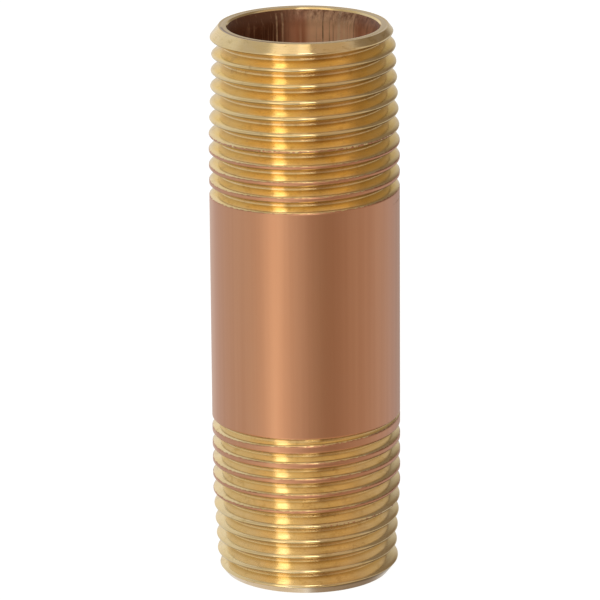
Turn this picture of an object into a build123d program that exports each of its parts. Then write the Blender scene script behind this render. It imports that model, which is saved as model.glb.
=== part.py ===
from build123d import *
from math import cos, pi, radians, sin, tan
import os

# A straight pipe nipple, 1/2 in by 2-1/2 in: one length of seamless red-brass
# pipe with a 1/2-14 NPT thread cut on each end and a plain barrel between them.
# Millimetres, +Z along the pipe, origin at the centre of the lower end face.

INCH = 25.4

# Pipe
LENGTH = 2.5 * INCH
PIPE_R = 0.840 * INCH / 2
WALL = 0.107 * INCH
BORE_R = PIPE_R - WALL

# Thread form, the same on both ends: 60 degree vee, flats on root and crest,
# on a cone that widens by 1 in 16 on the diameter away from the end face.
PITCH = INCH / 14
HALF_ANGLE = radians(30)
THREAD_DEPTH = 0.8 * PITCH
SHARP_DEPTH = PITCH / (2 * tan(HALF_ANGLE))
FLAT = (SHARP_DEPTH - THREAD_DEPTH) * tan(HALF_ANGLE)
TAPER = 1 / 32
PITCH_LINE_END_R = 0.75843 * INCH / 2
CREST_END_R = PITCH_LINE_END_R + THREAD_DEPTH / 2
ROOT_END_R = PITCH_LINE_END_R - THREAD_DEPTH / 2

# End faces: the turned chamfer outside and the reamed cone inside
END_FACE_R = 9.45
CHAMFER_LENGTH = 1.2
REAM_R = 8.6
REAM_HALF_ANGLE = radians(30)

# The groove starts on the chamfer and is at full depth half a turn later.
LEAD_IN_START = 0.45
LEAD_IN_FULL = LEAD_IN_START + PITCH / 2

# Places along a groove are distances from its own end face. Over its last turns
# the die's throat leaves it shallower, and then it runs out through the skin
# between two places. A phase is a height where its root line crosses the +X side.
SHALLOWING_TURNS = 8
UPPER_GROOVE = {
    "from_top": True,
    "phase": LENGTH - 1.39,
    "run_out": (18.5, 19.85),
    "shallower": 0.12,
}
LOWER_GROOVE = {
    "from_top": False,
    "phase": 0.457,
    "run_out": (17.6, 19.1),
    "shallower": 0.28,
}

# How the groove is cut, a quarter turn at a time: curve points to each quarter
# turn, how far the cutting vee stands out past the crests and, where it fades,
# out of the skin, and the half step that finds a curve's direction
QUARTER_TURN = PITCH / 4
STATIONS = 8
OVER_CREST = 0.3
OVER_SKIN = 0.05
NUDGE = 1e-4


def smooth_step(value):
    """0 below 0, 1 above 1, and a smooth rise between them."""
    t = min(max(value, 0.0), 1.0)
    return t * t * (3 - 2 * t)


def crest_cone_r(s):
    """Radius of the cone through the full thread's crests, s from the end face."""
    return CREST_END_R + TAPER * s


def chamfer_slope():
    """Rise in radius along the end chamfer, which stops at the crest cone."""
    return (crest_cone_r(CHAMFER_LENGTH) - END_FACE_R) / CHAMFER_LENGTH


def skin_r(s):
    """Radius of the blank before the grooves are cut: chamfer, cone, then pipe."""
    return min(END_FACE_R + chamfer_slope() * s, crest_cone_r(s), PIPE_R)


def root_r(s, groove):
    """Radius of the bottom of the groove. At both ends it rises out of the skin."""
    leaves, gone = groove["run_out"]
    still_deep = min(max((leaves - s) / (SHALLOWING_TURNS * PITCH), 0.0), 1.0)
    cut = ROOT_END_R + TAPER * s
    cut += groove["shallower"] * (1 - still_deep**2)
    lead_in = smooth_step((LEAD_IN_FULL - s) / (LEAD_IN_FULL - LEAD_IN_START))
    leaving = smooth_step((s - leaves) / (gone - leaves))
    return cut + (skin_r(s) + OVER_SKIN - cut) * max(lead_in, leaving)


def groove_corners(s, groove):
    """The vee's four corners where its root line is s from the end face."""
    bottom = root_r(s, groove)
    top = crest_cone_r(s) + OVER_CREST
    half_top = FLAT / 2 + (top - bottom) * tan(HALF_ANGLE)
    root_z = LENGTH - s if groove["from_top"] else s
    angle = 2 * pi * (root_z - groove["phase"]) / PITCH
    vee = [
        (bottom, -FLAT / 2),
        (bottom, FLAT / 2),
        (top, half_top),
        (top, -half_top),
    ]
    return [Vector(r * cos(angle), r * sin(angle), root_z + rise) for r, rise in vee]


def groove_rail(corner, start, stop, groove):
    """The curve that one corner of the vee follows from start to stop."""
    steps = [i / STATIONS for i in range(STATIONS + 1)]
    points = [groove_corners(start + (stop - start) * t, groove)[corner] for t in steps]
    tangents = [
        groove_corners(s + NUDGE, groove)[corner] - groove_corners(s - NUDGE, groove)[corner]
        for s in (start, stop)
    ]
    return Edge.make_spline(points, tangents=tangents, parameters=steps)


def groove_length(start, stop, groove):
    """A solid length of the groove, closed by a flat vee at each end."""
    rails = [groove_rail(corner, start, stop, groove) for corner in range(4)]
    walls = [Face.make_surface_from_curves(rails[k], rails[(k + 1) % 4]) for k in range(4)]
    caps = [
        Face(Wire.make_polygon(groove_corners(s, groove), close=True))
        for s in (start, stop)
    ]
    return Solid(Shell(walls + caps))


def groove_cutters(groove):
    """The whole right-hand groove, in quarter turns, and the last one to its end."""
    stop = groove["run_out"][1]
    count = round((stop - LEAD_IN_START) / QUARTER_TURN)
    ends = [LEAD_IN_START + QUARTER_TURN * i for i in range(count)] + [stop]
    return [groove_length(start, stop, groove) for start, stop in zip(ends, ends[1:])]


def pipe_blank():
    """The reamed and chamfered pipe, turned to the crest cone at both ends."""
    cone_end = (PIPE_R - CREST_END_R) / TAPER
    ream_depth = (REAM_R - BORE_R) / tan(REAM_HALF_ANGLE)
    lower_half = [
        (BORE_R, ream_depth),
        (REAM_R, 0),
        (END_FACE_R, 0),
        (crest_cone_r(CHAMFER_LENGTH), CHAMFER_LENGTH),
        (PIPE_R, cone_end),
    ]
    upper_half = [(r, LENGTH - z) for r, z in reversed(lower_half)]
    outline = Plane.XZ * Polyline(*lower_half, *upper_half, close=True)
    return revolve(make_face(outline), axis=Axis.Z)


def nipple_body():
    """The whole nipple: the pipe with a groove cut on each end."""
    body = pipe_blank()
    for cutter in groove_cutters(UPPER_GROOVE) + groove_cutters(LOWER_GROOVE):
        body = body - cutter
    return body


os.makedirs("parts", exist_ok=True)
export_step(nipple_body(), "parts/nipple_body.step")
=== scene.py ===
import math

import bmesh
import bpy
import numpy as np
from mathutils import Matrix, Vector


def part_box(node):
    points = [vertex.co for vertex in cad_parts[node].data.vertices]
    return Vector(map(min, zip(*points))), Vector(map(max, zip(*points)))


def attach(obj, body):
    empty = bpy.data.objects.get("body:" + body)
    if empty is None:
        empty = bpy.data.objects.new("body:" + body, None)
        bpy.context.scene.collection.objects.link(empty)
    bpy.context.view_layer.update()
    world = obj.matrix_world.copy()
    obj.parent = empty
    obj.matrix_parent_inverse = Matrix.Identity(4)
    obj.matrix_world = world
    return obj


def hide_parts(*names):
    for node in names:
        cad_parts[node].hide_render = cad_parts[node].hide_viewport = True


# A straight pipe nipple in red brass: a threaded end, a drawn barrel and a
# second threaded end, all one piece. Shapes are worked out in millimetres and
# scaled to metres when the mesh is made.

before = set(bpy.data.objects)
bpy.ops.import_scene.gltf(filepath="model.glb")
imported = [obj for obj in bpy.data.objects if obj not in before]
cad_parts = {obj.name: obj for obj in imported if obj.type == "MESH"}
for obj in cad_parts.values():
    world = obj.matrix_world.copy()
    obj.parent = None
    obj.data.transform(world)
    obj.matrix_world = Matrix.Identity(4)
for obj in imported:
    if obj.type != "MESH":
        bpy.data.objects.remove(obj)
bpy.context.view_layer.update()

MM = 0.001
NODE = "nipple_body"
node_low, node_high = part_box(NODE)
LENGTH = (node_high.z - node_low.z) / MM
PIPE_R = min(-node_low.x, node_high.x, -node_low.y, node_high.y) / MM

# ---------------------------------------------------------------- the thread
# The CAD model's own sizes. Places along a groove are distances from its end face.
INCH = 25.4
PITCH = INCH / 14
TAN_FLANK = math.tan(math.radians(30))
THREAD_DEPTH = 0.8 * PITCH
FLAT = PITCH / 2 - THREAD_DEPTH * TAN_FLANK
TAPER = 1 / 32
PITCH_LINE_END_R = 0.75843 * INCH / 2
CREST_END_R = PITCH_LINE_END_R + THREAD_DEPTH / 2
ROOT_END_R = PITCH_LINE_END_R - THREAD_DEPTH / 2
BORE_R = 7.95
END_FACE_R = 9.45
CHAMFER_LENGTH = 1.2
CHAMFER_SLOPE = (CREST_END_R + TAPER * CHAMFER_LENGTH - END_FACE_R) / CHAMFER_LENGTH
REAM_R = 8.6
LEAD_IN_START = 0.45
LEAD_IN_FULL = LEAD_IN_START + PITCH / 2
THROAT = 8 * PITCH
OVER_SKIN = 0.05
UPPER = {"leaves": 18.5, "gone": 19.85, "shallower": 0.12}
LOWER = {"leaves": 17.6, "gone": 19.1, "shallower": 0.28}

# How widely edges are rounded: where a flank meets the skin, where two flanks
# meet, at the root, at the chamfer's rim, and where the reamed cone meets the bore
EDGE_SOFT = 0.14
EDGE_FULL_DEPTH = 0.25
CREST_SOFT = 1.0
ROOT_SOFT = 0.05
RIM_SOFT = 0.05
REAM_SOFT = 0.45

# Points nearer than this are one point
SAME_PLACE = 0.0005

# The score that the lathe leaves on an end face, and a radius inside every root
SCORE_DEPTH = 0.05
INSIDE_ROOTS_R = 8.9

# Edge rings at the chamfer's two edges, as distances from the end face
RIM_RINGS = (0.04, CHAMFER_LENGTH - 0.06, CHAMFER_LENGTH, CHAMFER_LENGTH + 0.06)

# --------------------------------------------------------- the winding strip
# The outside is one strip of rows wound round the pipe like the thread itself:
# at the lower thread's lead up to LOWER_DONE, at the upper thread's lead from
# UPPER_DONE on, and more steeply along the barrel. A phase is a height where
# that thread's root line crosses the +X side, and TOP_TURN is how many turns
# after the lower phase the strip gets to the upper one.
COLUMNS = 192
ROWS = 18
LOWER_PHASE = 0.457
UPPER_PHASE = LENGTH - 1.39
LOWER_DONE = 19.7
UPPER_DONE = LENGTH - 20.4
TOP_TURN = 23
# Distances of the extra rows from the foot and from the edge of a flank
BY_FOOT = (0.03, 0.10)
BY_EDGE = (0.08, 0.21)
leave_turn = (LOWER_DONE - LOWER_PHASE) / PITCH
join_turn = TOP_TURN - (UPPER_PHASE - UPPER_DONE) / PITCH
first_column = math.floor((-1 - LOWER_PHASE / PITCH) * COLUMNS) - 1
last_column = math.ceil((TOP_TURN + (LENGTH - UPPER_PHASE) / PITCH) * COLUMNS) + 1


def smooth_step(value):
    """0 below 0, 1 above 1, and a smooth rise between them."""
    t = np.clip(value, 0.0, 1.0)
    return t * t * (3 - 2 * t)


def soft_min(a, b, soft):
    """The smaller of a and b, rounded where they meet."""
    h = np.maximum(soft - np.abs(a - b), 0) / soft
    return np.minimum(a, b) - h * h * soft / 4


def soft_max(a, b, soft):
    """The larger of a and b, rounded where they meet."""
    return -soft_min(-a, -b, soft)


def from_end(z):
    """Distance from the nearer end face."""
    return np.minimum(z, LENGTH - z)


def skin_r(z):
    """Radius of the blank before the grooves are cut."""
    s = from_end(z)
    chamfer = END_FACE_R + CHAMFER_SLOPE * s
    cone = np.minimum(CREST_END_R + TAPER * s, PIPE_R)
    return soft_min(chamfer, cone, RIM_SOFT)


def root_r(z):
    """Radius of the bottom of the groove where its root line is at height z."""
    upper = z > LENGTH / 2
    s = from_end(z)
    leaves = np.where(upper, UPPER["leaves"], LOWER["leaves"])
    gone = np.where(upper, UPPER["gone"], LOWER["gone"])
    shallower = np.where(upper, UPPER["shallower"], LOWER["shallower"])
    cut = ROOT_END_R + TAPER * s
    cut = cut + shallower * (1 - np.clip((leaves - s) / THROAT, 0.0, 1.0) ** 2)
    lead_in = smooth_step((LEAD_IN_FULL - s) / (LEAD_IN_FULL - LEAD_IN_START))
    leaving = smooth_step((s - leaves) / (gone - leaves))
    return cut + (skin_r(z) + OVER_SKIN - cut) * np.maximum(lead_in, leaving)


def line_z(turn):
    """Height of the strip's lower edge after that many turns. It is the thread's
    root line at both ends, and climbs quickly between them."""
    low = LOWER_PHASE + PITCH * turn
    high = UPPER_PHASE + PITCH * (turn - TOP_TURN)
    t = (turn - leave_turn) / (join_turn - leave_turn)
    between = LOWER_DONE + (UPPER_DONE - LOWER_DONE) * t
    return np.where(turn < leave_turn, low, np.where(turn > join_turn, high, between))


def groove_side(root, away):
    """Radius of a groove's flank, away from its root line."""
    return root + soft_max((away - FLAT / 2) / TAN_FLANK, 0.0, ROOT_SOFT)


def outside_r(z, z0, z1):
    """Radius of the finished outside between the root lines at z0 and z1."""
    skin = skin_r(z)
    sides, lands = [], []
    for line, away in ((z0, z - z0), (z1, z1 - z)):
        root = root_r(line)
        side = groove_side(root, away)
        depth = skin_r(line) - root
        soft = EDGE_SOFT * np.clip(depth / EDGE_FULL_DEPTH, 0.005, 1.0)
        sides.append(side)
        lands.append(soft_min(side, skin, soft))
    crest = soft_min(sides[0], sides[1], CREST_SOFT)
    return np.minimum(np.minimum(lands[0], lands[1]), crest)


def crest_edge(z0, direction):
    """Where the flank that leaves the root line at z0 meets the skin."""
    edge = z0 + direction * FLAT / 2
    for _ in range(12):
        height = np.maximum(skin_r(edge) - root_r(z0), 0.0)
        edge = z0 + direction * (FLAT / 2 + height * TAN_FLANK)
    return edge


def strip_rows(turn):
    """Heights of the strip's rows at each place along it, a column of the
    result to each row: close together at roots and crests, wide on flanks,
    and even along the barrel, where there is no groove."""
    z0, z1 = line_z(turn), line_z(turn + 1)
    foot0, foot1 = z0 + FLAT / 2, z1 - FLAT / 2
    edge0, edge1 = crest_edge(z0, 1), crest_edge(z1, -1)
    flank0, flank1 = edge0 - foot0, foot1 - edge1
    half = np.maximum((edge1 - edge0) / 2, 0)
    middle = (edge0 + edge1) / 2
    near, far = BY_EDGE
    low, high = BY_FOOT
    rows = [
        z0,
        foot0,
        foot0 + np.minimum(low, flank0 * 0.1),
        foot0 + np.minimum(high, flank0 * 0.3),
        foot0 + flank0 * 0.5,
        edge0 - np.minimum(far, flank0 * 0.4),
        edge0 - np.minimum(near, flank0 * 0.2),
        edge0 + np.minimum(near, half * 0.4),
        edge0 + np.minimum(far, half * 0.8),
        middle,
        edge1 - np.minimum(far, half * 0.8),
        edge1 - np.minimum(near, half * 0.4),
        edge1 + np.minimum(near, flank1 * 0.2),
        edge1 + np.minimum(far, flank1 * 0.4),
        foot1 - flank1 * 0.5,
        foot1 - np.minimum(high, flank1 * 0.3),
        foot1 - np.minimum(low, flank1 * 0.1),
        foot1,
    ]
    rows = np.stack(rows, axis=1)
    even = z0[:, None] + (z1 - z0)[:, None] * np.arange(ROWS) / ROWS
    plain = smooth_step((turn - leave_turn) * 4) * smooth_step((join_turn - 1 - turn) * 4)
    return rows + (even - rows) * plain[:, None]


def end_rings():
    """The rest of the section as rings of (radius, height): the lower end face
    with its turned score, the reamed cone, the bore, and the same again upwards."""
    face = [(9.43, 0.0), (9.36, 0.0), (9.28, 0.015), (9.16, SCORE_DEPTH)]
    face += [(9.04, 0.015), (8.98, 0.0), (REAM_R + 0.06, 0.0), (REAM_R, 0.02)]
    depths = (0.21, 0.35, 0.5, 0.7, 0.9, 1.1, 1.3, 1.5, 1.75, 2.0)
    ream = [(float(soft_max(REAM_R - d * TAN_FLANK, BORE_R, REAM_SOFT)), d) for d in depths]
    bore = [(BORE_R, LENGTH * t) for t in (0.1, 0.3, 0.5)]
    lower = face + ream + bore
    upper = [(r, LENGTH - z) for r, z in reversed(lower[:-1])]
    return lower + upper


def strip_points():
    """The strip's columns, the heights of its rows before they are clipped to
    the pipe's length, and its points, column by column."""
    columns = np.arange(first_column, last_column + 1)
    turn = columns / COLUMNS
    z = strip_rows(turn)
    clipped = np.clip(z, 0.0, LENGTH)
    radius = outside_r(clipped, line_z(turn)[:, None], line_z(turn + 1)[:, None])
    angle = 2 * math.pi * (columns % COLUMNS)[:, None] / COLUMNS
    grid = np.stack([radius * np.cos(angle), radius * np.sin(angle), clipped], axis=2)
    return columns, z, grid.reshape(-1, 3)


def strip_faces(columns, z, low_ring, high_ring):
    """The strip's faces. Rows beyond an end face all become that end's ring, and
    the strip's upper edge is its own lower edge one turn later."""
    count = len(columns)
    place = np.broadcast_to((columns % COLUMNS)[:, None], z.shape)
    ids = np.arange(count * ROWS).reshape(count, ROWS)
    ids = np.where(z <= 0, low_ring[place], ids)
    ids = np.where(z >= LENGTH, high_ring[place], ids)
    has_next_turn = np.arange(count) < count - COLUMNS
    next_turn = np.roll(ids[:, 0], -COLUMNS)
    above = np.where(has_next_turn, next_turn, high_ring[place[:, 0]])
    tall = np.concatenate([ids, above[:, None]], axis=1)
    quads = np.stack([tall[:-1, :-1], tall[1:, :-1], tall[1:, 1:], tall[:-1, 1:]], axis=2)
    faces = []
    for quad in quads.reshape(-1, 4).tolist():
        corners = [v for k, v in enumerate(quad) if v != quad[k - 1]]
        if len(set(corners)) == len(corners) and len(corners) > 2:
            faces.append(corners)
    return faces


def ring_points(rings):
    """The points of level rings of (radius, height), ring by ring."""
    angles = 2 * math.pi * np.arange(COLUMNS) / COLUMNS
    points = [(r * math.cos(a), r * math.sin(a), h) for r, h in rings for a in angles]
    return np.array(points)


def ring_faces(rings):
    """The faces between each ring of point numbers and the next."""
    faces = []
    for ring, after in zip(rings, rings[1:]):
        quads = np.stack([ring, after, np.roll(after, -1), np.roll(ring, -1)], axis=1)
        faces.extend(quads.tolist())
    return faces


def build_outline():
    """Points and faces of the whole nipple, in millimetres: the strip, then the
    end faces' outer rings, then the rings that join them through the bore."""
    columns, z, strip = strip_points()
    low_ring = len(strip) + np.arange(COLUMNS)
    high_ring = low_ring + COLUMNS
    between = end_rings()
    rings = [(END_FACE_R, 0.0), (END_FACE_R, LENGTH)] + between
    inside = [high_ring + COLUMNS * (k + 1) for k in range(len(between))]
    faces = strip_faces(columns, z, low_ring, high_ring)
    faces += ring_faces([low_ring] + inside + [high_ring])
    return np.concatenate([strip, ring_points(rings)]), faces


def radius_at(x, y, z):
    """The finished radius at any place on the threaded ends."""
    turn_part = (math.atan2(y, x) / (2 * math.pi)) % 1
    phase = UPPER_PHASE if z > LENGTH / 2 else LOWER_PHASE
    k = math.floor((z - phase) / PITCH - turn_part)
    z0 = phase + PITCH * (k + turn_part)
    return float(outside_r(np.float64(z), np.float64(z0), np.float64(z0 + PITCH)))


def is_outside(point):
    """True on the threaded outside, false on the end faces and in the bore."""
    radius = math.hypot(point.x, point.y)
    past_face = from_end(point.z) > SCORE_DEPTH + 0.01
    return radius > END_FACE_R - 0.01 or (radius > INSIDE_ROOTS_R and past_face)


def add_rim_rings(bm):
    """Adds edge rings where the chamfer begins and ends, and puts them on the
    true surface."""
    for height in RIM_RINGS + tuple(LENGTH - ring for ring in RIM_RINGS):
        near = [v for v in bm.verts if abs(v.co.z - height) < PITCH]
        outer = set(v for v in near if is_outside(v.co))
        faces = set(f for v in outer for f in v.link_faces if all(w in outer for w in f.verts))
        edges = set(e for f in faces for e in f.edges)
        cut = bmesh.ops.bisect_plane(
            bm,
            geom=list(outer) + list(edges) + list(faces),
            dist=1e-4,
            plane_co=(0, 0, height),
            plane_no=(0, 0, 1),
        )
        for v in cut["geom_cut"]:
            if isinstance(v, bmesh.types.BMVert):
                scale = radius_at(*v.co) / math.hypot(v.co.x, v.co.y)
                v.co.x *= scale
                v.co.y *= scale
                v.co.z = height


def area_normals(mesh):
    """Vertex normals weighted by face area, so that flats stay flat in the light
    and only the narrow rounded rows between them turn."""
    count = len(mesh.vertices)
    corners = np.zeros(len(mesh.loops), np.int64)
    mesh.loops.foreach_get("vertex_index", corners)
    totals = np.zeros(len(mesh.polygons), np.int64)
    mesh.polygons.foreach_get("loop_total", totals)
    normals = np.zeros(len(mesh.polygons) * 3)
    areas = np.zeros(len(mesh.polygons))
    mesh.polygons.foreach_get("normal", normals)
    mesh.polygons.foreach_get("area", areas)
    weighted = normals.reshape(-1, 3) * areas[:, None]
    face_of = np.repeat(np.arange(len(totals)), totals)
    sums = np.zeros((count, 3))
    np.add.at(sums, corners, weighted[face_of])
    lengths = np.linalg.norm(sums, axis=1)
    return sums / np.maximum(lengths, 1e-20)[:, None]


def make_nipple():
    """The nipple's mesh in metres, closed, with smooth normals of its own."""
    points, faces = build_outline()
    raw = bpy.data.meshes.new("nipple_raw")
    raw.from_pydata(points.tolist(), [], faces)
    bm = bmesh.new()
    bm.from_mesh(raw)
    loose = [v for v in bm.verts if not v.link_faces]
    bmesh.ops.delete(bm, geom=loose, context="VERTS")
    # where a groove fades out, rows of the strip lie on each other
    bmesh.ops.remove_doubles(bm, verts=bm.verts, dist=SAME_PLACE)
    add_rim_rings(bm)
    bmesh.ops.remove_doubles(bm, verts=bm.verts, dist=SAME_PLACE)
    bmesh.ops.dissolve_degenerate(bm, edges=bm.edges, dist=SAME_PLACE)
    bmesh.ops.recalc_face_normals(bm, faces=bm.faces)
    bmesh.ops.scale(bm, vec=(MM, MM, MM), verts=bm.verts)
    mesh = bpy.data.meshes.new("nipple_shell")
    bm.to_mesh(mesh)
    bm.free()
    bpy.data.meshes.remove(raw)
    mesh.polygons.foreach_set("use_smooth", [True] * len(mesh.polygons))
    mesh.normals_split_custom_set_from_vertices(area_normals(mesh).tolist())
    shell = bpy.data.objects.new("nipple_shell", mesh)
    bpy.context.scene.collection.objects.link(shell)
    return shell


# ------------------------------------------------------------- the materials
# How deep the pale lip of the bore's mouth goes, and how deep the skin is
LIP = 0.15
SKIN = 0.012

# Draw lines in the bore: degrees round from the -Y side, half width in degrees,
# strength and colour
DRAW_LINES = [
    (164, 0.45, 0.9, (0.10, 0.05, 0.03)),
    (150, 1.3, 0.7, (0.98, 0.76, 0.50)),
    (145, 0.7, 0.6, (0.98, 0.72, 0.46)),
    (197, 0.8, 0.75, (0.90, 0.64, 0.40)),
    (202, 0.7, 0.8, (0.90, 0.64, 0.40)),
    (135, 0.5, 0.5, (0.20, 0.08, 0.05)),
]


class Nodes:
    """A short way to write a node tree."""

    def __init__(self, tree):
        self.tree = tree
        tree.nodes.clear()

    def add(self, kind, inputs=None, **settings):
        """A node with these settings and, by socket name, these inputs."""
        node = self.tree.nodes.new(kind)
        for name, value in settings.items():
            setattr(node, name, value)
        for name, value in (inputs or {}).items():
            self.put(node.inputs[name], value)
        return node

    def put(self, socket, value):
        """Links a socket to another one, or sets it to a number or colour."""
        if isinstance(value, bpy.types.NodeSocket):
            self.tree.links.new(value, socket)
        else:
            socket.default_value = value

    def math(self, operation, *values):
        node = self.add("ShaderNodeMath", operation=operation)
        for socket, value in zip(node.inputs, values):
            self.put(socket, value)
        return node.outputs[0]

    def ramp(self, value, low, high, to_low=0.0, to_high=1.0, smooth=True):
        """From to_low where value is low to to_high where it is high."""
        kind = "SMOOTHSTEP" if smooth else "LINEAR"
        node = self.add("ShaderNodeMapRange", interpolation_type=kind, clamp=True)
        for socket, v in zip(node.inputs, (value, low, high, to_low, to_high)):
            self.put(socket, v)
        return node.outputs[0]

    def mix(self, factor, a, b):
        """Colour a, and factor of b over it. A Mix node has its colours at 6 and 7."""
        node = self.add("ShaderNodeMix", data_type="RGBA")
        self.put(node.inputs[0], factor)
        self.put(node.inputs[6], a)
        self.put(node.inputs[7], b)
        return node.outputs[2]

    def mix_value(self, factor, a, b):
        """Number a, and factor of b over it."""
        node = self.add("ShaderNodeMix", data_type="FLOAT")
        self.put(node.inputs[0], factor)
        self.put(node.inputs[2], a)
        self.put(node.inputs[3], b)
        return node.outputs[0]

    def noise(self, vector, scale, detail, rough):
        node = self.add("ShaderNodeTexNoise", noise_dimensions="3D")
        self.put(node.inputs["Vector"], vector)
        node.inputs["Scale"].default_value = scale
        node.inputs["Detail"].default_value = detail
        node.inputs["Roughness"].default_value = rough
        return node.outputs["Fac"]

    def stretched(self, vector, x, y, z):
        """The vector scaled along each axis. A small scale makes long streaks."""
        node = self.add("ShaderNodeMapping")
        self.put(node.inputs["Vector"], vector)
        node.inputs["Scale"].default_value = (x, y, z)
        return node.outputs[0]


def rgb(r, g, b):
    """An opaque colour, as a colour socket takes it."""
    return (r, g, b, 1.0)


def metal_material(name, build):
    """A metal whose colour, roughness and bump come from build(nodes, place)."""
    material = bpy.data.materials.new(name)
    material.use_nodes = True
    nodes = Nodes(material.node_tree)
    place = nodes.add("ShaderNodeTexCoord").outputs["Object"]
    parts = build(nodes, place)
    tangent = nodes.add("ShaderNodeTangent", direction_type="RADIAL", axis="Z")
    shader = nodes.add("ShaderNodeBsdfPrincipled")
    shader.inputs["Metallic"].default_value = parts.get("metallic", 1.0)
    shader.inputs["Anisotropic"].default_value = parts["anisotropic"]
    shader.inputs["Anisotropic Rotation"].default_value = parts["rotation"]
    shader.inputs["Coat Weight"].default_value = parts.get("coat", 0.0)
    shader.inputs["Coat Roughness"].default_value = 0.3
    nodes.put(shader.inputs["Tangent"], tangent.outputs[0])
    nodes.put(shader.inputs["Base Color"], parts["color"])
    nodes.put(shader.inputs["Roughness"], parts["roughness"])
    bump = nodes.add("ShaderNodeBump")
    bump.inputs["Strength"].default_value = parts["bump_strength"]
    bump.inputs["Distance"].default_value = parts["bump_distance"]
    nodes.put(bump.inputs["Height"], parts["height"])
    nodes.put(shader.inputs["Normal"], bump.outputs[0])
    output = nodes.add("ShaderNodeOutputMaterial")
    nodes.put(output.inputs[0], shader.outputs[0])
    return material


def radius_and_height(nodes, place):
    """Distance from the pipe's axis, and height above its lower end, in metres."""
    x, y, z = nodes.add("ShaderNodeSeparateXYZ", {"Vector": place}).outputs
    squares = [nodes.math("MULTIPLY", side, side) for side in (x, y)]
    return nodes.math("SQRT", nodes.math("ADD", *squares)), z


def angle_around(nodes, place):
    """Angle round the pipe from the -Y side, positive towards +X."""
    x, y, z = nodes.add("ShaderNodeSeparateXYZ", {"Vector": place}).outputs
    return nodes.math("ARCTAN2", x, nodes.math("MULTIPLY", y, -1.0))


def window(nodes, value, low, high, soft):
    """1 between low and high, 0 outside, with soft edges."""
    rising = nodes.ramp(value, low - soft, low + soft)
    falling = nodes.ramp(value, high - soft, high + soft, 1.0, 0.0)
    return nodes.math("MULTIPLY", rising, falling)


def sector(nodes, angle, low, high, soft):
    """A window on an angle, with its limits in degrees."""
    return window(nodes, angle, *(math.radians(limit) for limit in (low, high, soft)))


def drawn_skin(nodes, place):
    """Colour, roughness and relief of the rose-brown skin that drawing leaves."""
    streaks = nodes.noise(nodes.stretched(place, 1, 1, 0.004), 4200, 2.0, 0.5)
    bands = nodes.noise(nodes.stretched(place, 1, 1, 0.02), 700, 2.0, 0.5)
    patches = nodes.noise(place, 260, 4.0, 0.6)
    speckle = nodes.noise(place, 6500, 2.0, 0.6)
    color = nodes.mix(nodes.ramp(bands, 0.3, 0.7), rgb(0.71, 0.345, 0.185), rgb(0.75, 0.38, 0.208))
    color = nodes.mix(nodes.ramp(streaks, 0.4, 0.8, 0.0, 0.22), color, rgb(0.64, 0.30, 0.16))
    color = nodes.mix(nodes.ramp(patches, 0.45, 0.8, 0.0, 0.25), color, rgb(0.71, 0.375, 0.22))
    roughness = nodes.ramp(streaks, 0.3, 0.7, 0.35, 0.39)
    height = nodes.math("ADD", streaks, nodes.math("MULTIPLY", speckle, 0.5))
    return color, roughness, height


def barrel_parts(nodes, place):
    color, roughness, height = drawn_skin(nodes, place)
    return {
        "color": color,
        "roughness": roughness,
        "height": height,
        "bump_strength": 0.06,
        "bump_distance": 0.00003,
        "anisotropic": 0.3,
        "rotation": 0.0,
        "coat": 0.6,
    }


def cut_colors(nodes, smudges, z):
    """Colours of the flanks, of edges partly worn and partly painted highlight, and of
    the painted shade under the ridges. The lower thread is a little paler than the upper one."""
    blotches = nodes.ramp(smudges, 0.35, 0.7)
    upper = nodes.mix(blotches, rgb(0.94, 0.63, 0.165), rgb(0.95, 0.67, 0.22))
    lower = nodes.mix(blotches, rgb(0.97, 0.76, 0.38), rgb(0.98, 0.79, 0.45))
    # crest colour: partly wear and partly painted highlight
    wear_and_highlight = nodes.mix(blotches, rgb(0.99, 0.76, 0.38), rgb(1.0, 0.80, 0.46))
    is_lower = nodes.ramp(z, 0.035, 0.018)
    # painted shade: the colour of the sides that face down
    underside_shade = nodes.mix(is_lower, rgb(0.97, 0.84, 0.76), rgb(0.97, 0.82, 0.62))
    return nodes.mix(is_lower, upper, lower), wear_and_highlight, underside_shade


def thread_depths(nodes, radius, z):
    """How far a place is below the thread's crests, and above its roots."""
    end = nodes.math("MINIMUM", z, nodes.math("SUBTRACT", LENGTH * MM, z))
    rise = nodes.math("MULTIPLY", end, TAPER)
    cone = nodes.math("ADD", rise, CREST_END_R * MM)
    below_crest = nodes.math("SUBTRACT", nodes.math("MINIMUM", cone, PIPE_R * MM), radius)
    above_root = nodes.math("SUBTRACT", nodes.math("SUBTRACT", radius, rise), ROOT_END_R * MM)
    return below_crest, above_root


def painted_side_shade(nodes, around, z):
    """Where the painted shade under the ridges is darker: on one side, most at the top."""
    side = sector(nodes, around, 36, 78, 10)
    return nodes.math("MULTIPLY", side, nodes.ramp(z, 0.030, 0.040, 0.3, 1.0))


def score_shadow(nodes, around, radius):
    """A painted shadow: the brown line in the turned score, part of the way round an end face."""
    line = window(nodes, radius, 9.02 * MM, 9.30 * MM, 0.04 * MM)
    part_way = sector(nodes, around, -85, -12, 3)
    return nodes.math("MULTIPLY", line, nodes.math("MULTIPLY", part_way, 0.85))


def skin_share(nodes, place, radius):
    """Where a crest still carries the pipe's skin, with a ragged edge."""
    ragged = nodes.noise(place, 3000, 3.0, 0.6)
    limit = nodes.ramp(ragged, 0.3, 0.7, (PIPE_R - 0.11) * MM, (PIPE_R - 0.02) * MM)
    return nodes.ramp(nodes.math("SUBTRACT", radius, limit), 0.0, 0.006 * MM)


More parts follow.
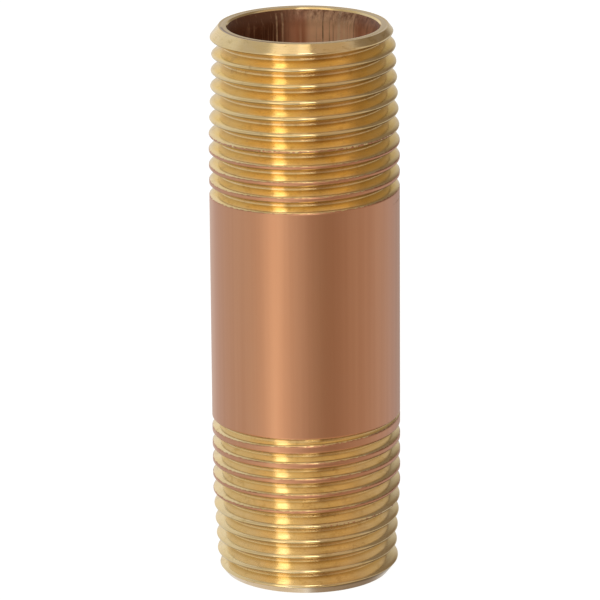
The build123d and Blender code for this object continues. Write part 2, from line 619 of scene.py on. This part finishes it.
def cut_parts(nodes, place):
    """Bright brass as the die and the lathe leave it, with fine lines round it,
    painted shade on the sides that face down, and drawn skin along the widest crests."""
    radius, z = radius_and_height(nodes, place)
    around = angle_around(nodes, place)
    normal = nodes.add("ShaderNodeNewGeometry").outputs["Normal"]
    facing = nodes.add("ShaderNodeSeparateXYZ", {"Vector": normal}).outputs[2]
    lines = nodes.noise(nodes.stretched(place, 0.03, 0.03, 1), 9000, 3.0, 0.6)
    smudges = nodes.noise(nodes.stretched(place, 1, 1, 1.6), 420, 4.0, 0.6)
    grains = nodes.noise(place, 2600, 3.0, 0.6)
    stains = nodes.noise(nodes.stretched(place, 0.5, 0.5, 1), 1500, 4.0, 0.65)
    flank, wear_and_highlight, underside_shade = cut_colors(nodes, smudges, z)
    below_crest, above_root = thread_depths(nodes, radius, z)

    # flanks: painted shade darker by the root, and paler by the crest, partly wear and partly
    # painted highlight
    root_shade = nodes.ramp(above_root, 0.62 * MM, 0.12 * MM, 0.0, 0.7)
    # paler towards the crest: partly wear and partly painted highlight
    crest_wear_and_highlight = nodes.ramp(below_crest, 0.62 * MM, 0.18 * MM, 0.0, 0.75)
    flank = nodes.mix(root_shade, flank, rgb(0.66, 0.44, 0.12))
    flank = nodes.mix(crest_wear_and_highlight, flank, wear_and_highlight)
    color = nodes.mix(nodes.ramp(facing, 0.68, 0.84), wear_and_highlight, flank)

    # undersides: painted shade, darkest close under each crest
    underside_shade = nodes.mix(painted_side_shade(nodes, around, z), underside_shade, rgb(0.56, 0.42, 0.27))
    # painted shade in a band just under each crest
    under_crest_shade = nodes.ramp(below_crest, 0.42 * MM, 0.22 * MM, 0.0, 0.8)
    underside_shade = nodes.mix(under_crest_shade, underside_shade, rgb(0.40, 0.31, 0.15))
    color = nodes.mix(nodes.ramp(facing, -0.1, -0.6), color, underside_shade)

    # marks on all of it
    color = nodes.mix(nodes.ramp(grains, 0.6, 0.85, 0.0, 0.2), color, rgb(0.80, 0.54, 0.26))
    color = nodes.mix(nodes.ramp(stains, 0.54, 0.72, 0.0, 0.42), color, rgb(0.58, 0.40, 0.15))
    color = nodes.mix(nodes.ramp(lines, 0.52, 0.75, 0.0, 0.2), color, rgb(0.70, 0.48, 0.20))

    # the upper end face, which is duller
    on_face = nodes.ramp(facing, 0.93, 0.98)
    color = nodes.mix(nodes.math("MULTIPLY", on_face, 0.75), color, rgb(0.60, 0.45, 0.26))
    # painted shadow in the turned score
    score = nodes.math("MULTIPLY", on_face, score_shadow(nodes, around, radius))
    color = nodes.mix(score, color, rgb(0.20, 0.11, 0.06))

    is_skin = skin_share(nodes, place, radius)
    skin = nodes.mix(nodes.ramp(grains, 0.35, 0.7), rgb(0.70, 0.36, 0.21), rgb(0.50, 0.25, 0.14))
    return {
        "color": nodes.mix(is_skin, color, skin),
        "roughness": nodes.mix_value(is_skin, nodes.ramp(lines, 0.3, 0.7, 0.12, 0.20), 0.36),
        "height": nodes.math("ADD", lines, nodes.math("MULTIPLY", grains, 0.25)),
        "bump_strength": 0.08,
        "bump_distance": 0.00004,
        "anisotropic": 0.6,
        "rotation": 0.25,
    }


def draw_lines(nodes, color, behind, fine):
    """The colour with the long lines that drawing left over it, a little broken."""
    broken = nodes.ramp(fine, 0.3, 0.6, 0.4, 1.0)
    for degrees, half, share, tone in DRAW_LINES:
        line = sector(nodes, behind, degrees - half, degrees + half, half / 2)
        line = nodes.math("MULTIPLY", nodes.math("MULTIPLY", line, share), broken)
        color = nodes.mix(line, color, rgb(*tone))
    return color


def bore_parts(nodes, place):
    """The bore's brown layer, with painted light as a pale patch on one side of the
    back and painted shade as a near-black patch on the other, and draw lines along it."""
    z = radius_and_height(nodes, place)[1]
    behind = nodes.math("WRAP", angle_around(nodes, place), 2 * math.pi, 0.0)
    streaks = nodes.noise(nodes.stretched(place, 1, 1, 0.02), 2600, 3.0, 0.7)
    wide = nodes.noise(nodes.stretched(place, 1, 1, 0.08), 700, 2.0, 0.5)
    patches = nodes.noise(place, 900, 4.0, 0.7)
    fine = nodes.noise(nodes.stretched(place, 1, 1, 0.35), 2400, 4.0, 0.7)
    color = nodes.mix(nodes.ramp(wide, 0.3, 0.7), rgb(0.55, 0.23, 0.12), rgb(0.72, 0.36, 0.21))
    # painted shade: a near-black patch on one side of the back wall
    bore_shade_patch = nodes.math("MULTIPLY", sector(nodes, behind, 194, 290, 10), 0.96)
    color = nodes.mix(bore_shade_patch, color, rgb(0.085, 0.024, 0.006))
    # painted light: a pale patch on the other side of the back wall
    bore_light_patch = nodes.math("MULTIPLY", sector(nodes, behind, 134, 177, 4), 0.92)
    color = nodes.mix(bore_light_patch, color, rgb(1.0, 0.64, 0.38))
    color = draw_lines(nodes, color, behind, fine)
    color = nodes.mix(nodes.ramp(streaks, 0.56, 0.7, 0.0, 0.5), color, rgb(0.86, 0.56, 0.34))
    color = nodes.mix(nodes.ramp(streaks, 0.44, 0.3, 0.0, 0.6), color, rgb(0.26, 0.11, 0.06))
    color = nodes.mix(nodes.ramp(patches, 0.5, 0.8, 0.0, 0.35), color, rgb(0.55, 0.30, 0.17))

    # the reamed mouths carry the same brown layer, mottled
    top = LENGTH * MM
    lower_mouth = nodes.ramp(z, 0.0026, 0.0004)
    upper_mouth = nodes.ramp(z, top - 0.0026, top - 0.0004)
    mouth = nodes.math("MAXIMUM", lower_mouth, upper_mouth)
    mottled = nodes.ramp(fine, 0.35, 0.65, 0.95, 0.60)
    color = nodes.mix(nodes.math("MULTIPLY", mouth, mottled), color, rgb(0.14, 0.048, 0.014))
    return {
        "color": color,
        "metallic": 0.25,
        "roughness": nodes.ramp(patches, 0.3, 0.7, 0.36, 0.5),
        "height": nodes.math("ADD", streaks, nodes.math("MULTIPLY", patches, 0.4)),
        "bump_strength": 0.15,
        "bump_distance": 0.00006,
        "anisotropic": 0.3,
        "rotation": 0.0,
    }


# --------------------------------------------------------------- the studio
# Light in the surroundings by azimuth in degrees, from the camera's side and
# positive towards +X: level with the nipple, and from the pale floor below it
LEVEL_LIGHT = [
    (-180, (0.62, 0.60, 0.57)),
    (-160, (0.80, 0.78, 0.76)),
    (-130, (0.64, 0.65, 0.68)),
    (-60, (0.60, 0.58, 0.56)),
    (-20, (0.64, 0.61, 0.58)),
    (-3, (0.64, 0.60, 0.57)),
    (8, (0.36, 0.29, 0.24)),
    (22, (0.27, 0.20, 0.15)),
    (34, (0.33, 0.26, 0.21)),
    (46, (0.43, 0.35, 0.30)),
    (70, (0.50, 0.43, 0.38)),
    (95, (0.60, 0.56, 0.54)),
    (130, (0.58, 0.58, 0.62)),
    (155, (0.46, 0.44, 0.42)),
    (168, (0.58, 0.56, 0.54)),
    (180, (0.62, 0.60, 0.57)),
]
LIGHT_FROM_BELOW = [
    (-180, (0.80, 0.80, 0.80)),
    (-110, (0.58, 0.47, 0.32)),
    (-60, (0.73, 0.58, 0.38)),
    (-22, (0.76, 0.69, 0.56)),
    (2, (0.64, 0.55, 0.45)),
    (22, (0.54, 0.46, 0.34)),
    (40, (0.60, 0.49, 0.34)),
    (66, (0.68, 0.54, 0.35)),
    (105, (0.30, 0.23, 0.16)),
    (150, (0.26, 0.21, 0.17)),
    (180, (0.80, 0.80, 0.80)),
]

# Panels and dark flags around it: azimuths, elevations and softness in degrees,
# colour, and how much of it shows over what is behind
PANELS = [
    ((18, 80), (20, 90), 8.0, (0.45, 0.36, 0.29), 1.0),
    ((88, 152), (4, 90), 9.0, (0.19, 0.15, 0.12), 0.93),
    ((-106, -62), (25, 90), 8.0, (0.44, 0.40, 0.35), 0.8),
    ((-45, -28), (-30, 36), 1.0, (1.32, 1.22, 1.06), 1.0),
    ((-45, -28), (-85, -30), 1.0, (1.9, 1.95, 1.85), 1.0),
    ((-58, -31), (40, 75), 2.0, (0.98, 0.87, 0.72), 1.0),
    ((-31, -8), (44, 75), 3.0, (0.86, 0.74, 0.60), 1.0),
    ((-10, 13), (50, 70), 2.0, (1.12, 0.98, 0.80), 1.0),
    ((-6, 14), (20, 49), 2.0, (2.6, 2.5, 2.25), 1.0),
]


def make_world():
    """Soft surroundings seen in the metal, by direction: azimuth from the
    camera's side and elevation. The camera itself sees plain white."""
    world = bpy.data.worlds.new("studio")
    bpy.context.scene.world = world
    world.use_nodes = True
    nodes = Nodes(world.node_tree)
    direction = nodes.add("ShaderNodeTexCoord").outputs["Generated"]
    x, y, z = nodes.add("ShaderNodeSeparateXYZ", {"Vector": direction}).outputs
    around = nodes.math("ARCTAN2", x, nodes.math("MULTIPLY", y, -1.0))
    rise = nodes.math("ARCSINE", z)

    def by_azimuth(stops):
        ramp = nodes.add("ShaderNodeValToRGB")
        nodes.put(ramp.inputs[0], nodes.ramp(around, -math.pi, math.pi, smooth=False))
        elements = ramp.color_ramp.elements
        for k, (degrees, color) in enumerate(stops):
            at = (degrees + 180) / 360
            element = elements[k] if k < 2 else elements.new(at)
            element.position = at
            element.color = rgb(*color)
        return ramp.outputs[0]

    level = by_azimuth(LEVEL_LIGHT)
    below = by_azimuth(LIGHT_FROM_BELOW)
    light = nodes.mix(nodes.ramp(rise, math.radians(-27), math.radians(-37)), level, below)
    for azimuths, elevations, soft, color, share in PANELS:
        across = sector(nodes, around, *azimuths, soft)
        upright = sector(nodes, rise, *elevations, soft)
        inside = nodes.math("MULTIPLY", across, upright)
        light = nodes.mix(nodes.math("MULTIPLY", inside, share), light, rgb(*color))
    is_camera = nodes.add("ShaderNodeLightPath").outputs["Is Camera Ray"]
    light = nodes.mix(is_camera, light, rgb(1.0, 1.0, 1.0))
    background = nodes.add("ShaderNodeBackground", {"Color": light})
    output = nodes.add("ShaderNodeOutputWorld")
    nodes.put(output.inputs[0], background.outputs[0])


# Half the floor's width and how far it is below the nipple, in metres, and how
# much it glows
FLOOR_HALF = 3.0
FLOOR_GAP = 0.0001
FLOOR_GLOW = 0.95


def make_floor():
    """A pale floor that glows a little, so that it stays as pale as the sweep."""
    bm = bmesh.new()
    bmesh.ops.create_grid(bm, x_segments=8, y_segments=8, size=FLOOR_HALF)
    mesh = bpy.data.meshes.new("floor")
    bm.to_mesh(mesh)
    bm.free()
    floor = bpy.data.objects.new("floor", mesh)
    bpy.context.scene.collection.objects.link(floor)
    floor.location.z = node_low.z - FLOOR_GAP
    material = bpy.data.materials.new("pale_floor")
    material.use_nodes = True
    nodes = Nodes(material.node_tree)
    shader = nodes.add("ShaderNodeBsdfPrincipled")
    shader.inputs["Base Color"].default_value = rgb(0.2, 0.2, 0.2)
    shader.inputs["Roughness"].default_value = 1.0
    shader.inputs["Specular IOR Level"].default_value = 0.0
    shader.inputs["Emission Color"].default_value = rgb(1, 1, 1)
    shader.inputs["Emission Strength"].default_value = FLOOR_GLOW
    output = nodes.add("ShaderNodeOutputMaterial")
    nodes.put(output.inputs[0], shader.outputs[0])
    mesh.materials.append(material)
    floor.visible_glossy = False


def make_camera():
    """A long lens, a little above the nipple, looking down at its front."""
    distance, rise = 0.517, math.radians(16.58)
    down, yaw, roll = (math.radians(angle) for angle in (16.59, -0.07, -0.44))
    middle = Vector((0, 0, (node_low.z + node_high.z) / 2))
    place = middle + distance * Vector((0, -math.cos(rise), math.sin(rise)))
    level = Vector((math.sin(yaw), math.cos(yaw), 0))
    ahead = math.cos(down) * level - math.sin(down) * Vector((0, 0, 1))
    side = ahead.cross(Vector((0, 0, 1))).normalized()
    up = side.cross(ahead)
    right = math.cos(roll) * side + math.sin(roll) * up
    top = -math.sin(roll) * side + math.cos(roll) * up
    data = bpy.data.cameras.new("camera")
    data.sensor_width = 36
    data.lens = 275.088
    data.clip_start, data.clip_end = 0.01, 50
    camera = bpy.data.objects.new("camera", data)
    bpy.context.scene.collection.objects.link(camera)
    turned = Matrix((right, top, -ahead)).transposed().to_4x4()
    camera.matrix_world = Matrix.Translation(place) @ turned
    bpy.context.scene.camera = camera


def paint(shell):
    """Gives the nipple its three materials: cut brass, except where a face is in
    the bore, past the pale lip of its mouth, or still in the pipe's skin."""
    names = ("cut_brass", "drawn_skin", "bore")
    for name, parts in zip(names, (cut_parts, barrel_parts, bore_parts)):
        shell.data.materials.append(metal_material(name, parts))
    for polygon in shell.data.polygons:
        radius = math.hypot(polygon.center.x, polygon.center.y) / MM
        if radius < REAM_R + 0.02 and from_end(polygon.center.z / MM) > LIP:
            polygon.material_index = names.index("bore")
        elif radius > PIPE_R - SKIN:
            polygon.material_index = names.index("drawn_skin")


make_camera()
make_world()
make_floor()
shell = make_nipple()
paint(shell)
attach(shell, "root")
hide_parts(NODE)

bpy.context.scene.view_settings.view_transform = "Standard"
